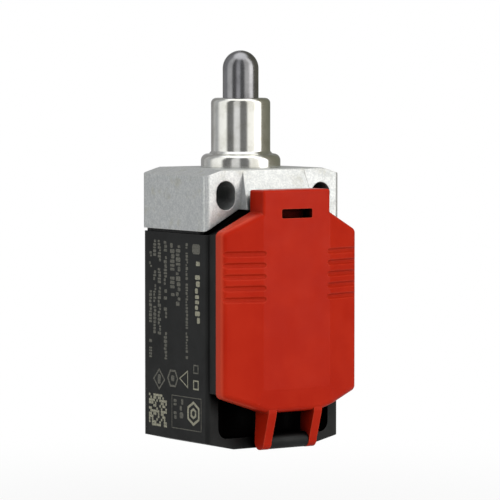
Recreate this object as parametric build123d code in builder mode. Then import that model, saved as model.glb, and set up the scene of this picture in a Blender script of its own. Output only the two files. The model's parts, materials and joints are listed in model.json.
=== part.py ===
from build123d import *
import os
from math import radians, tan

os.makedirs("parts", exist_ok=True)

# Plunger-operated limit switch.
# Origin: on the plunger's axis, in the plane of the body's flat bottom.
# +Z runs up to the plunger, the hinged cover faces -Y, the mounting face is +Y.

# ---------------------------------------------------------------- driving sizes
HEAD_WIDTH = 31.0
HEAD_DEPTH = 22.0
HEAD_BOTTOM = 41.3
HEAD_TOP = 52.9
ROOF_DROP = 1.2
ROOF_RUN = 4.0
FIXING_SPACING = 22.0
FIXING_RADIUS = 2.15
FIXING_Z = 48.0
FIXING_SLOT_HEIGHT = 5.5

BODY_WIDTH = 30.5
BODY_TOP = 40.7
BODY_WALL = 2.2
GABLE_TOP = 45.35
GABLE_HALF = 8.1
GABLE_DEPTH = 3.0
ENTRY_RADIUS = 9.19
CHAMBER_FLOOR = 10.8
CHAMBER_CEILING = 38.1

RIM_FRONT = -14.25
RIM_INSET = 0.75
RIM_WALL = 1.7

COVER_HALF = 15.5
COVER_FLAT_HALF = 7.7
COVER_FRONT = -18.7
COVER_SIDE_FRONT = -16.5
COVER_BOTTOM = 7.2
TAB_HALF = 7.7
TAB_BOTTOM = 45.0
TAB_TOP = 49.15

HINGE_Y = -15.0
HINGE_Z = 1.55
HINGE_EYE_RADIUS = 1.5
HINGE_PIN_RADIUS = 0.75
HINGE_PIN_HALF = 5.3

TRAVEL = 6.0
NO_GAP = 2.5
PLUNGER_TIP = 75.3
PLUNGER_RADIUS = 3.45
STEM_RADIUS = 2.4
STEM_END = 43.72
GUIDE_TOP = 66.2
GUIDE_RADIUS = 5.7
GUIDE_BORE = 3.5
GUIDE_CHAMBER = 4.5
GUIDE_SHOULDER = 61.05
FLANGE_RADIUS = 7.65
SPIGOT_RADIUS = 6.0

# clearances: between turning pieces, between touching pieces, round a pressed pin, round a rod
# that slides, round a screw in its plain hole, and past the face that a cut opens
RUNNING = 0.05
TOUCH = 0.02
PRESS_FIT = 0.01
SLIDING = 0.1
SCREW_CLEARANCE = 0.15
PAST = 1.0

# ------------------------------------------------------- values worked out from them
FRONT = -HEAD_DEPTH / 2
REAR = HEAD_DEPTH / 2
HEAD_HALF = HEAD_WIDTH / 2
BODY_HALF = BODY_WIDTH / 2
FIXING_X = FIXING_SPACING / 2
GABLE_BACK = FRONT + GABLE_DEPTH
FACET_RUN = COVER_HALF - COVER_FLAT_HALF
FACET_RISE = COVER_SIDE_FRONT - COVER_FRONT


def front_plane(y):
    """The plane facing -Y at this depth: its x is X and its y is Z."""
    return Plane(origin=(0, y, 0), x_dir=(1, 0, 0), z_dir=(0, -1, 0))


def side_plane(x):
    """The plane facing +X: its x is Y and its y is Z."""
    return Plane(origin=(x, 0, 0), x_dir=(0, 1, 0), z_dir=(1, 0, 0))


def mirrored(points):
    """The right-hand points of an outline, followed by their left-hand images."""
    return points + [(-x, z) for x, z in reversed(points)]


def save(piece, name):
    piece.part.label = name
    export_step(piece.part, f"parts/{name}.step")


# The cover's outline without its tab, seen from the front: an elongated octagon.
SHOULDER_Z = 41.25
CORNER_Z = 10.4
LEG_OUTER = 6.14
OCTAGON = mirrored([
    (LEG_OUTER, COVER_BOTTOM),
    (COVER_HALF, CORNER_Z),
    (COVER_HALF, SHOULDER_Z),
    (TAB_HALF, TAB_BOTTOM),
])


def coil(name, radius, wire, bottom, top, turns):
    """A round-wire compression spring that fills the height from bottom to top."""
    height = top - bottom - wire
    with BuildPart() as spring:
        with BuildLine() as path:
            Helix(pitch=height / turns, height=height, radius=radius,
                  center=(0, 0, bottom + wire / 2))
        with BuildSketch(Plane(origin=path.line @ 0, z_dir=path.line % 0)):
            Circle(wire / 2)
        sweep(is_frenet=True)
    save(spring, name)


# ================================================================= head casting
SEAL_GROOVE_INNER = 6.5
SEAL_GROOVE_OUTER = 7.6
SEAL_GROOVE_DEPTH = 0.8
RAMP_TOP = 52.5
RAMP_HALF_TOP = 7.1
RAMP_HALF_BOTTOM = 7.9
RAMP_ANGLE = 20.0
RAMP_ROOT = 1.0
RAMP_PROUD = (RAMP_TOP - GABLE_TOP) * tan(radians(RAMP_ANGLE))
HEAD_SCREW_X = 7.6
HEAD_SCREW_Y = 5.2
HEAD_SCREW_RADIUS = 1.25
HEAD_SCREW_TOP = 45.1
DRILL_POINT = 0.3
HEAD_CORNER = 1.0
HEAD_TOP_CHAMFER = 0.25

with BuildPart() as head:
    with BuildSketch(front_plane(REAR)):
        Polygon(*mirrored([
            (HEAD_HALF, HEAD_BOTTOM),
            (HEAD_HALF, HEAD_TOP - ROOF_DROP),
            (HEAD_HALF - ROOF_RUN, HEAD_TOP),
        ]), align=None)
    extrude(amount=HEAD_DEPTH)
    fillet(head.edges().filter_by(Axis.Z), radius=HEAD_CORNER)
    # gable cut-out that the body's front rises into
    with BuildSketch(front_plane(FRONT)):
        Polygon(*mirrored([
            (HEAD_HALF, HEAD_BOTTOM - PAST),
            (HEAD_HALF, HEAD_BOTTOM),
            (GABLE_HALF, GABLE_TOP),
        ]), align=None)
    extrude(amount=-GABLE_DEPTH, mode=Mode.SUBTRACT)
    # wedge-shaped catch for the cover's tab
    with BuildSketch(Plane.XY.offset(RAMP_TOP)):
        with Locations((0, FRONT + RAMP_ROOT / 2)):
            Rectangle(2 * RAMP_HALF_TOP, RAMP_ROOT)
    with BuildSketch(Plane.XY.offset(GABLE_TOP)):
        with Locations((0, FRONT + (RAMP_ROOT - RAMP_PROUD) / 2)):
            Rectangle(2 * RAMP_HALF_BOTTOM, RAMP_PROUD + RAMP_ROOT)
    loft()
    chamfer(head.edges().filter_by(Axis.X).group_by(Axis.Z)[-1], length=HEAD_TOP_CHAMFER)
    # bore that the guide screws into, and the seal groove around it
    with BuildSketch(Plane.XY.offset(HEAD_BOTTOM - PAST)):
        Circle(SPIGOT_RADIUS + TOUCH)
    extrude(amount=HEAD_TOP - HEAD_BOTTOM + 2 * PAST, mode=Mode.SUBTRACT)
    with BuildSketch(Plane.XY.offset(HEAD_TOP)):
        Circle(SEAL_GROOVE_OUTER)
        Circle(SEAL_GROOVE_INNER, mode=Mode.SUBTRACT)
    extrude(amount=-SEAL_GROOVE_DEPTH, mode=Mode.SUBTRACT)
    # round fixing hole on the right, upright slot on the left
    with BuildSketch(front_plane(FRONT)):
        with Locations((FIXING_X, FIXING_Z)):
            Circle(FIXING_RADIUS)
        with Locations((-FIXING_X, FIXING_Z)):
            SlotOverall(FIXING_SLOT_HEIGHT, 2 * FIXING_RADIUS, rotation=90)
    extrude(amount=-HEAD_DEPTH, mode=Mode.SUBTRACT)
    # tapped holes for the screws from the body
    with BuildSketch(Plane.XY.offset(HEAD_BOTTOM)):
        with GridLocations(2 * HEAD_SCREW_X, 2 * HEAD_SCREW_Y, 2, 2):
            Circle(HEAD_SCREW_RADIUS + TOUCH)
    extrude(amount=HEAD_SCREW_TOP - HEAD_BOTTOM + DRILL_POINT, mode=Mode.SUBTRACT)
save(head, "head_casting")

# ================================================================= guide sleeve
FLANGE_LIP = 2.45
FLANGE_BEVEL = 0.2
FLANGE_STEP_RADIUS = 6.1
FLANGE_NECK = 0.45
SPIGOT_END = 45.9
WIPER_BOTTOM = 64.2
WIPER_TOP = 65.5
WIPER_RADIUS = 4.4
WIPER_FLARE = 0.15
RING_GROOVE_RADIUS = 4.85
SEAT_BOTTOM = 46.9
SEAT_TOP = 47.7
RING_BOTTOM = 46.3
GUIDE_RIM_ROUND = 1.0
BORE_CHAMFER = 0.3
FLANGE_ROUND = 1.3

with BuildPart() as guide:
    with BuildSketch(Plane.XZ):
        with BuildLine():
            Polyline(
                (SPIGOT_RADIUS, SPIGOT_END),
                (SPIGOT_RADIUS, HEAD_TOP),
                (FLANGE_RADIUS, HEAD_TOP),
                (FLANGE_RADIUS, HEAD_TOP + FLANGE_LIP),
                (FLANGE_STEP_RADIUS, HEAD_TOP + FLANGE_LIP + FLANGE_BEVEL),
                (GUIDE_RADIUS, HEAD_TOP + FLANGE_LIP + FLANGE_BEVEL + FLANGE_NECK),
                (GUIDE_RADIUS, GUIDE_TOP),
                (GUIDE_BORE, GUIDE_TOP),
                (GUIDE_BORE, WIPER_TOP),
                (WIPER_RADIUS, WIPER_TOP),
                (WIPER_RADIUS, WIPER_BOTTOM),
                (GUIDE_BORE, WIPER_BOTTOM),
                (GUIDE_BORE, GUIDE_SHOULDER),
                (GUIDE_CHAMBER, GUIDE_SHOULDER),
                (GUIDE_CHAMBER, SEAT_BOTTOM),
                (RING_GROOVE_RADIUS, SEAT_BOTTOM),
                (RING_GROOVE_RADIUS, RING_BOTTOM),
                (GUIDE_CHAMBER, RING_BOTTOM),
                (GUIDE_CHAMBER, SPIGOT_END),
                close=True,
            )
        make_face()
    revolve(axis=Axis.Z)
    top_edges = guide.edges().filter_by(GeomType.CIRCLE).group_by(Axis.Z)[-1].sort_by(SortBy.RADIUS)
    fillet(top_edges[-1], radius=GUIDE_RIM_ROUND)
    chamfer(top_edges[0], length=BORE_CHAMFER)
    fillet(guide.edges().filter_by(GeomType.CIRCLE).filter_by(
        lambda edge: abs(edge.radius - FLANGE_RADIUS) < TOUCH and edge.center().Z > HEAD_TOP + TOUCH),
        radius=FLANGE_ROUND)
save(guide, "guide_sleeve")

with BuildPart() as wiper:
    with BuildSketch(Plane.XZ):
        with BuildLine():
            Polyline(
                (WIPER_RADIUS - TOUCH, WIPER_BOTTOM + TOUCH),
                (WIPER_RADIUS - TOUCH, WIPER_TOP - TOUCH),
                (GUIDE_BORE + WIPER_FLARE, WIPER_TOP - TOUCH),
                (PLUNGER_RADIUS + TOUCH, (WIPER_BOTTOM + WIPER_TOP) / 2),
                (GUIDE_BORE + WIPER_FLARE, WIPER_BOTTOM + TOUCH),
                close=True,
            )
        make_face()
    revolve(axis=Axis.Z)
save(wiper, "plunger_wiper")

O_RING_RADIUS = (SEAL_GROOVE_INNER + SEAL_GROOVE_OUTER) / 2
O_RING_CORD = 0.38

with BuildPart() as o_ring:
    with BuildSketch(Plane.XZ):
        with Locations((O_RING_RADIUS, HEAD_TOP - O_RING_CORD - TOUCH)):
            Circle(O_RING_CORD)
    revolve(axis=Axis.Z)
save(o_ring, "guide_o_ring")

# ================================================================= plunger and its spring
COLLAR_TOP = GUIDE_SHOULDER - RUNNING
COLLAR_HEIGHT = 1.0
COLLAR_BOTTOM = COLLAR_TOP - COLLAR_HEIGHT
SPRING_WIRE = 0.8
RING_WIDTH = 1.05
RING_GAP = 3.0

with BuildPart() as plunger:
    with BuildSketch(Plane.XZ):
        with BuildLine():
            Polyline(
                (0, STEM_END),
                (STEM_RADIUS, STEM_END),
                (STEM_RADIUS, COLLAR_BOTTOM),
                (GUIDE_CHAMBER - SLIDING, COLLAR_BOTTOM),
                (GUIDE_CHAMBER - SLIDING, COLLAR_TOP),
                (PLUNGER_RADIUS, COLLAR_TOP),
                (PLUNGER_RADIUS, PLUNGER_TIP - PLUNGER_RADIUS),
            )
            RadiusArc((PLUNGER_RADIUS, PLUNGER_TIP - PLUNGER_RADIUS), (0, PLUNGER_TIP), -PLUNGER_RADIUS)
            Line((0, PLUNGER_TIP), (0, STEM_END))
        make_face()
    revolve(axis=Axis.Z)
save(plunger, "plunger")

with BuildPart() as spring_seat:
    with BuildSketch(Plane.XY.offset(SEAT_BOTTOM)):
        Circle(GUIDE_CHAMBER - RUNNING)
        Circle(STEM_RADIUS + SLIDING, mode=Mode.SUBTRACT)
    extrude(amount=SEAT_TOP - SEAT_BOTTOM)
save(spring_seat, "spring_seat")

with BuildPart() as retaining_ring:
    with BuildSketch(Plane.XY.offset(RING_BOTTOM + TOUCH)):
        Circle(RING_GROOVE_RADIUS - RUNNING)
        Circle(RING_GROOVE_RADIUS - RING_WIDTH, mode=Mode.SUBTRACT)
        with Locations((0, RING_GROOVE_RADIUS)):
            Rectangle(RING_GAP, 2 * RING_GAP, mode=Mode.SUBTRACT)
    extrude(amount=SEAT_BOTTOM - RING_BOTTOM - 2 * TOUCH)
save(retaining_ring, "retaining_ring")

coil("return_spring", (STEM_RADIUS + GUIDE_CHAMBER) / 2, SPRING_WIRE,
     SEAT_TOP + TOUCH, COLLAR_BOTTOM - TOUCH, 6)

# ================================================================= body housing
BODY_CORNER = 0.9
GASKET_INSET = 0.4
GASKET_CORNER = 0.8
GASKET_BORE = 3.2
CARRIER_STEM = 2.6
CARRIER_TOP = STEM_END - TOUCH
GABLE_GAP = 0.35
GABLE_BACK_WALL = 1.5
RECESS_HALF = 12.75
RECESS_BOTTOM = 2.1
RECESS_DEPTH = 5.0
RECESS_CORNER = 2.0
ENTRY_BOSS_RADIUS = 10.4
CHAMBER_HALF = BODY_HALF - BODY_WALL
CHAMBER_REAR = REAR - BODY_WALL
REAR_FOOT_TOP = 13.9
REAR_RELIEF = 0.25
PANEL_MIDDLE = 27.0
PANEL_SIZE = 22.0
PANEL_CORNER = 2.0
PANEL_DEPTH = 0.3
BOTTOM_SLOPE_RUN = 6.0
BOTTOM_SLOPE = 1.4
SCREW_HEAD_RADIUS = 2.2
SCREW_HEAD_HEIGHT = 1.6
SCREW_SEAT_GAP = 0.1
CROSS_LENGTH = 2.6
CROSS_WIDTH = 0.6
CROSS_DEPTH = 0.9
BAR_HALF = 4.2
POST_RADIUS = 2.6
POST_FRONT = 3.0
BLOCK_SCREW_X = 9.7
BLOCK_SCREW_Z = 26.25
BLOCK_SCREW_RADIUS = 1.25
BLOCK_SCREW_CENTRES = [(-BLOCK_SCREW_X, BLOCK_SCREW_Z), (BLOCK_SCREW_X, BLOCK_SCREW_Z)]

with BuildPart() as body:
    with BuildSketch(Plane.XY):
        Rectangle(BODY_WIDTH, HEAD_DEPTH)
    extrude(amount=BODY_TOP)
    fillet(body.edges().filter_by(Axis.Z), radius=BODY_CORNER)
    # the front wall rises as a gable into the head's cut-out
    with BuildSketch(front_plane(FRONT)):
        Polygon(*mirrored([
            (BODY_HALF - BODY_CORNER, BODY_TOP - PAST),
            (BODY_HALF - BODY_CORNER, BODY_TOP),
            (GABLE_HALF, GABLE_TOP - GABLE_GAP),
        ]), align=None)
    extrude(amount=-(GABLE_DEPTH - GABLE_GAP))
    # recess below the cover's sealing rim, with the round boss of the cable entry standing in it
    with BuildSketch(front_plane(FRONT)):
        with Locations((0, RECESS_BOTTOM)):
            Rectangle(2 * RECESS_HALF, CORNER_Z, align=(Align.CENTER, Align.MIN))
        fillet(vertices().group_by(Axis.Y)[0], radius=RECESS_CORNER)
        with BuildSketch(mode=Mode.SUBTRACT):
            Polygon(*OCTAGON, align=None)
            offset(amount=-RIM_INSET, kind=Kind.INTERSECTION)
    extrude(amount=-RECESS_DEPTH, mode=Mode.SUBTRACT)
    with BuildSketch(Plane.XY):
        Circle(ENTRY_BOSS_RADIUS)
    extrude(amount=CHAMBER_FLOOR)
    # sealing rim under the cover
    with BuildSketch(front_plane(FRONT)):
        Polygon(*OCTAGON, align=None)
        offset(amount=-RIM_INSET, kind=Kind.INTERSECTION)
    extrude(amount=FRONT - RIM_FRONT)
    # wiring chamber: open towards the cover, closed at the back
    with BuildSketch(front_plane(RIM_FRONT)):
        Polygon(*OCTAGON, align=None)
        offset(amount=-RIM_INSET - RIM_WALL, kind=Kind.INTERSECTION)
    extrude(amount=-(GABLE_BACK - GABLE_GAP - GABLE_BACK_WALL - RIM_FRONT), mode=Mode.SUBTRACT)
    with BuildSketch(Plane.XY.offset(CHAMBER_FLOOR)):
        with Locations((0, CHAMBER_REAR)):
            Rectangle(2 * CHAMBER_HALF, CHAMBER_REAR - RIM_FRONT - PAST, align=(Align.CENTER, Align.MAX))
    extrude(amount=CHAMBER_CEILING - CHAMBER_FLOOR, mode=Mode.SUBTRACT)
    # threaded cable entry
    with BuildSketch(Plane.XY):
        Circle(ENTRY_RADIUS)
    extrude(amount=CHAMBER_FLOOR + PAST, mode=Mode.SUBTRACT)
    # bore for the contact carrier, and the counterbored holes for the head's screws
    with BuildSketch(Plane.XY.offset(CHAMBER_CEILING - PAST)):
        Circle(CARRIER_STEM + SLIDING)
        with GridLocations(2 * HEAD_SCREW_X, 2 * HEAD_SCREW_Y, 2, 2):
            Circle(HEAD_SCREW_RADIUS + SCREW_CLEARANCE)
    extrude(amount=BODY_TOP - CHAMBER_CEILING + 2 * PAST, mode=Mode.SUBTRACT)
    with BuildSketch(Plane.XY.offset(CHAMBER_CEILING)):
        with GridLocations(2 * HEAD_SCREW_X, 2 * HEAD_SCREW_Y, 2, 2):
            Circle(SCREW_HEAD_RADIUS + SCREW_CLEARANCE)
    extrude(amount=SCREW_HEAD_HEIGHT + SCREW_SEAT_GAP, mode=Mode.SUBTRACT)
    # posts on the rear wall that the contact block is screwed to
    with BuildSketch(front_plane(CHAMBER_REAR + PAST)):
        with Locations(*BLOCK_SCREW_CENTRES):
            Circle(POST_RADIUS)
    extrude(amount=CHAMBER_REAR + PAST - POST_FRONT)
    with BuildSketch(front_plane(POST_FRONT)):
        with Locations(*BLOCK_SCREW_CENTRES):
            Circle(BLOCK_SCREW_RADIUS + TOUCH)
    extrude(amount=-(CHAMBER_REAR - POST_FRONT), mode=Mode.SUBTRACT)
    # hinge bar for the cover's pin
    with BuildSketch(side_plane(-BAR_HALF)):
        with Locations((HINGE_Y, HINGE_Z)):
            Circle(HINGE_EYE_RADIUS - RUNNING)
        with BuildLine():
            Polyline(
                (HINGE_Y, HINGE_Z - HINGE_EYE_RADIUS + RUNNING),
                (FRONT + PAST, HINGE_Z - HINGE_EYE_RADIUS + RUNNING),
                (FRONT + PAST, HINGE_Z + HINGE_EYE_RADIUS - RUNNING),
                (HINGE_Y, HINGE_Z + HINGE_EYE_RADIUS - RUNNING),
                close=True,
            )
        make_face()
        with Locations((HINGE_Y, HINGE_Z)):
            Circle(HINGE_PIN_RADIUS + PRESS_FIT, mode=Mode.SUBTRACT)
    extrude(amount=2 * BAR_HALF)
    # sloping sides of the bottom
    with BuildSketch(front_plane(FRONT)):
        Polygon((BODY_HALF, 0), (BODY_HALF, BOTTOM_SLOPE), (BODY_HALF - BOTTOM_SLOPE_RUN, 0), align=None)
        Polygon((-BODY_HALF, 0), (BOTTOM_SLOPE_RUN - BODY_HALF, 0), (-BODY_HALF, BOTTOM_SLOPE), align=None)
    extrude(amount=-HEAD_DEPTH, mode=Mode.SUBTRACT)
    # the rear wall stands back above its foot, with a shallow panel in it
    with BuildSketch(front_plane(REAR)):
        with Locations((0, REAR_FOOT_TOP)):
            Rectangle(BODY_WIDTH + PAST, BODY_TOP - REAR_FOOT_TOP + PAST, align=(Align.CENTER, Align.MIN))
    extrude(amount=REAR_RELIEF, mode=Mode.SUBTRACT)
    with BuildSketch(front_plane(REAR - REAR_RELIEF)):
        with Locations((0, PANEL_MIDDLE)):
            RectangleRounded(PANEL_SIZE, PANEL_SIZE, radius=PANEL_CORNER)
    extrude(amount=PANEL_DEPTH, mode=Mode.SUBTRACT)
save(body, "body_housing")

with BuildPart() as head_gasket:
    with BuildSketch(Plane.XY.offset(BODY_TOP + TOUCH)):
        with Locations((0, (GABLE_BACK + REAR - GASKET_INSET) / 2 + TOUCH)):
            RectangleRounded(2 * (BODY_HALF - GASKET_INSET), REAR - GASKET_INSET - GABLE_BACK,
                             radius=GASKET_CORNER)
        Circle(GASKET_BORE, mode=Mode.SUBTRACT)
        with GridLocations(2 * HEAD_SCREW_X, 2 * HEAD_SCREW_Y, 2, 2):
            Circle(HEAD_SCREW_RADIUS + SCREW_CLEARANCE, mode=Mode.SUBTRACT)
    extrude(amount=HEAD_BOTTOM - BODY_TOP - 2 * TOUCH)
save(head_gasket, "head_gasket")

with BuildPart() as head_screws:
    with BuildSketch(Plane.XY.offset(CHAMBER_CEILING)):
        with GridLocations(2 * HEAD_SCREW_X, 2 * HEAD_SCREW_Y, 2, 2):
            Circle(SCREW_HEAD_RADIUS)
    extrude(amount=SCREW_HEAD_HEIGHT + SCREW_SEAT_GAP - TOUCH)
    with BuildSketch(Plane.XY.offset(CHAMBER_CEILING + SCREW_HEAD_HEIGHT)):
        with GridLocations(2 * HEAD_SCREW_X, 2 * HEAD_SCREW_Y, 2, 2):
            Circle(HEAD_SCREW_RADIUS)
    extrude(amount=HEAD_SCREW_TOP - CHAMBER_CEILING - SCREW_HEAD_HEIGHT)
    with BuildSketch(Plane.XY.offset(CHAMBER_CEILING)):
        with GridLocations(2 * HEAD_SCREW_X, 2 * HEAD_SCREW_Y, 2, 2):
            Rectangle(CROSS_LENGTH, CROSS_WIDTH)
            Rectangle(CROSS_WIDTH, CROSS_LENGTH)
    extrude(amount=CROSS_DEPTH, mode=Mode.SUBTRACT)
save(head_screws, "head_screws")

# ================================================================= cover
GROOVE_PITCH = 2.15
GROOVE_MIDDLE = 33.05
GROOVE_WIDTH = 1.2
GROOVE_START = -0.9
GROOVE_LENGTH = 11.0
GROOVE_DEPTH = 0.35
GROOVE_TAPER = 50
LEG_INNER = 4.34
LEG_BACK = 0.4
HINGE_PIN_CHAMFER = 0.15
EDGE_SOFTENING = 0.45
OUTLINE_ROUND = 1.3
MID_WALL = (COVER_SIDE_FRONT + RIM_FRONT) / 2
OCTAGON_CORNER = 1.2
SLOT_HALF = 3.5
SLOT_BOTTOM = 43.8
SLOT_TOP = 45.56
SLOT_DEPTH = 3.0
SLOT_CORNER = 0.3
BOTTOM_FACET_TOP = 11.7
BOTTOM_FACET_BACK = 0.5
SEAL_INSET = 0.95
SEAL_WIDTH = 1.3
SEAL_DEPTH = 0.9
HOOK_HALF = 3.2
HOOK_BACK = -13.2
HOOK_BOTTOM = 44.55
HOOK_GAP = 0.12
HOOK_ROOT = 0.5
HOOK_TOP = GABLE_TOP - HOOK_GAP
POCKET_OUTER = 12.2
POCKET_SIDE_FRONT = -15.6
POCKET_FLAT_HALF = 7.2
POCKET_FRONT = -16.9
POCKET_BOTTOM = 13.3
POCKET_HEIGHT = 8.2
POCKET_PITCH = 9.2
TAB_POCKET_HALF = 6.1
TAB_POCKET_BOTTOM = 46.2
TAB_POCKET_TOP = 47.7
TAB_POCKET_DEPTH = 2.6

with BuildPart() as cover:
    with BuildSketch(front_plane(RIM_FRONT)):
        Polygon(*OCTAGON, align=None)
        with Locations((0, TAB_TOP)):
            Rectangle(2 * TAB_HALF, TAB_TOP - SHOULDER_Z, align=(Align.CENTER, Align.MAX))
    extrude(amount=RIM_FRONT - COVER_FRONT)
    fillet(cover.edges().filter_by(Axis.Y).filter_by(
        lambda edge: abs(abs(edge.center().X) - COVER_HALF) < TOUCH), radius=OCTAGON_CORNER)
    # side facets fall back from the flat centre to the thin side walls
    for side in (-1, 1):
        with BuildSketch(Plane.XY):
            Polygon(
                (side * COVER_FLAT_HALF, COVER_FRONT),
                (side * (COVER_HALF + FACET_RUN), COVER_FRONT + 2 * FACET_RISE),
                (side * (COVER_HALF + FACET_RUN), COVER_FRONT - PAST),
                (side * COVER_FLAT_HALF, COVER_FRONT - PAST),
                align=None,
            )
        extrude(amount=TAB_TOP, mode=Mode.SUBTRACT)
    # bottom facet
    with BuildSketch(side_plane(-COVER_HALF)):
        Polygon(
            (COVER_FRONT, BOTTOM_FACET_TOP),
            (COVER_FRONT + BOTTOM_FACET_BACK, COVER_BOTTOM),
            (COVER_FRONT + BOTTOM_FACET_BACK, 0),
            (COVER_FRONT - PAST, 0),
            (COVER_FRONT - PAST, BOTTOM_FACET_TOP),
            align=None,
        )
    extrude(amount=2 * COVER_HALF, mode=Mode.SUBTRACT)
    # rounded front edges: the tab slightly, the outline below it more, the two upright creases not at all
    front_edges = cover.edges().filter_by(lambda edge: edge.center().Y < MID_WALL)
    fillet(front_edges.filter_by(lambda edge: edge.center().Z > TAB_BOTTOM), radius=EDGE_SOFTENING)
    front_edges = cover.edges().filter_by(lambda edge: edge.center().Y < MID_WALL)
    outline = front_edges.filter_by(lambda edge: edge.center().Z < TAB_BOTTOM)
    off_crease = outline.filter_by(lambda edge: abs(abs(edge.center().X) - COVER_FLAT_HALF) > TOUCH)
    fillet(off_crease, radius=OUTLINE_ROUND)
    # hinge legs
    with BuildSketch(side_plane(LEG_INNER)):
        with BuildLine():
            Polyline(
                (HINGE_Y + HINGE_EYE_RADIUS, HINGE_Z),
                (RIM_FRONT + LEG_BACK, COVER_BOTTOM),
                (RIM_FRONT - RUNNING, COVER_BOTTOM),
                (RIM_FRONT - RUNNING, COVER_BOTTOM + PAST),
                (COVER_FRONT + BOTTOM_FACET_BACK, COVER_BOTTOM + PAST),
                (COVER_FRONT + BOTTOM_FACET_BACK, COVER_BOTTOM),
                (HINGE_Y - HINGE_EYE_RADIUS, HINGE_Z),
            )
            RadiusArc((HINGE_Y - HINGE_EYE_RADIUS, HINGE_Z), (HINGE_Y + HINGE_EYE_RADIUS, HINGE_Z),
                      -HINGE_EYE_RADIUS)
        make_face()
    leg = extrude(amount=LEG_OUTER - LEG_INNER)
    mirror(leg, about=Plane.YZ)
    with BuildSketch(side_plane(-HINGE_PIN_HALF - RUNNING)):
        with Locations((HINGE_Y, HINGE_Z)):
            Circle(HINGE_PIN_RADIUS + RUNNING)
    extrude(amount=2 * (HINGE_PIN_HALF + RUNNING), mode=Mode.SUBTRACT)
    # finger grooves across the side facets
    for side in (-1, 1):
        facet = Plane(
            origin=(side * COVER_FLAT_HALF, COVER_FRONT, GROOVE_MIDDLE),
            x_dir=(side * FACET_RUN, FACET_RISE, 0),
            z_dir=(side * FACET_RISE, -FACET_RUN, 0),
        )
        with BuildSketch(facet):
            with Locations((GROOVE_START + GROOVE_LENGTH / 2, 0)):
                with GridLocations(1, GROOVE_PITCH, 1, 5):
                    SlotOverall(GROOVE_LENGTH, GROOVE_WIDTH)
        extrude(amount=-GROOVE_DEPTH, taper=GROOVE_TAPER, mode=Mode.SUBTRACT)
    # screwdriver slot
    with BuildSketch(front_plane(COVER_FRONT)):
        with Locations((0, (SLOT_BOTTOM + SLOT_TOP) / 2)):
            RectangleRounded(2 * SLOT_HALF, SLOT_TOP - SLOT_BOTTOM, radius=SLOT_CORNER)
    extrude(amount=-SLOT_DEPTH, mode=Mode.SUBTRACT)
    # groove for the seal
    with BuildSketch(front_plane(RIM_FRONT)):
        Polygon(*OCTAGON, align=None)
        offset(amount=-SEAL_INSET, kind=Kind.INTERSECTION)
        with BuildSketch(mode=Mode.SUBTRACT):
            Polygon(*OCTAGON, align=None)
            offset(amount=-SEAL_INSET - SEAL_WIDTH, kind=Kind.INTERSECTION)
    extrude(amount=SEAL_DEPTH, mode=Mode.SUBTRACT)
    # pockets between the inner ribs, and the one behind the tab
    for row in range(3):
        with BuildSketch(Plane.XY.offset(POCKET_BOTTOM + row * POCKET_PITCH)):
            Polygon(*mirrored([
                (POCKET_OUTER, RIM_FRONT),
                (POCKET_OUTER, POCKET_SIDE_FRONT),
                (POCKET_FLAT_HALF, POCKET_FRONT),
            ]), align=None)
        extrude(amount=POCKET_HEIGHT, mode=Mode.SUBTRACT)
    with BuildSketch(front_plane(RIM_FRONT)):
        with Locations((0, TAB_POCKET_BOTTOM)):
            Rectangle(
                2 * TAB_POCKET_HALF,
                TAB_POCKET_TOP - TAB_POCKET_BOTTOM,
                align=(Align.CENTER, Align.MIN),
            )
    extrude(amount=TAB_POCKET_DEPTH, mode=Mode.SUBTRACT)
    # snap hook under the head's catch
    with BuildSketch(front_plane(HOOK_BACK)):
        with Locations((0, (HOOK_BOTTOM + HOOK_TOP) / 2)):
            Rectangle(2 * HOOK_HALF, HOOK_TOP - HOOK_BOTTOM)
    extrude(amount=HOOK_BACK - RIM_FRONT + HOOK_ROOT)
save(cover, "cover")

with BuildPart() as cover_gasket:
    with BuildSketch(front_plane(RIM_FRONT - TOUCH)):
        Polygon(*OCTAGON, align=None)
        offset(amount=-SEAL_INSET - TOUCH, kind=Kind.INTERSECTION)
        with BuildSketch(mode=Mode.SUBTRACT):
            Polygon(*OCTAGON, align=None)
            offset(amount=-SEAL_INSET - SEAL_WIDTH + TOUCH, kind=Kind.INTERSECTION)
    extrude(amount=SEAL_DEPTH - 2 * TOUCH)
save(cover_gasket, "cover_gasket")

with BuildPart() as hinge_pin:
    with BuildSketch(side_plane(-HINGE_PIN_HALF)):
        with Locations((HINGE_Y, HINGE_Z)):
            Circle(HINGE_PIN_RADIUS)
    extrude(amount=2 * HINGE_PIN_HALF)
    chamfer(hinge_pin.edges().filter_by(GeomType.CIRCLE), length=HINGE_PIN_CHAMFER)
save(hinge_pin, "hinge_pin")

# ================================================================= contact block
BLOCK_HALF = 12.3
BLOCK_BOTTOM = 13.9
BLOCK_TOP = 37.7
BLOCK_REAR = 8.2
BLOCK_SPLIT = -3.2
BLOCK_FRONT = -9.4
BLOCK_CORNER = 0.6
BLOCK_SCREW_SEAT = -6.9
BLOCK_SCREW_GRIP = 4.0
SCREW_HEAD_ROUND = 0.4
CAVITY_HALF = 7.2
CAVITY_DEPTH = 3.2
CAVITY_FLOOR = 15.3
CAVITY_CEILING = 36.2
SPRING_CUP_BOTTOM = 11.7
SPRING_CUP_RADIUS = 3.2
SPRING_CUP_BORE = 2.2
SPRING_CUP_FLOOR = 12.7

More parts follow.
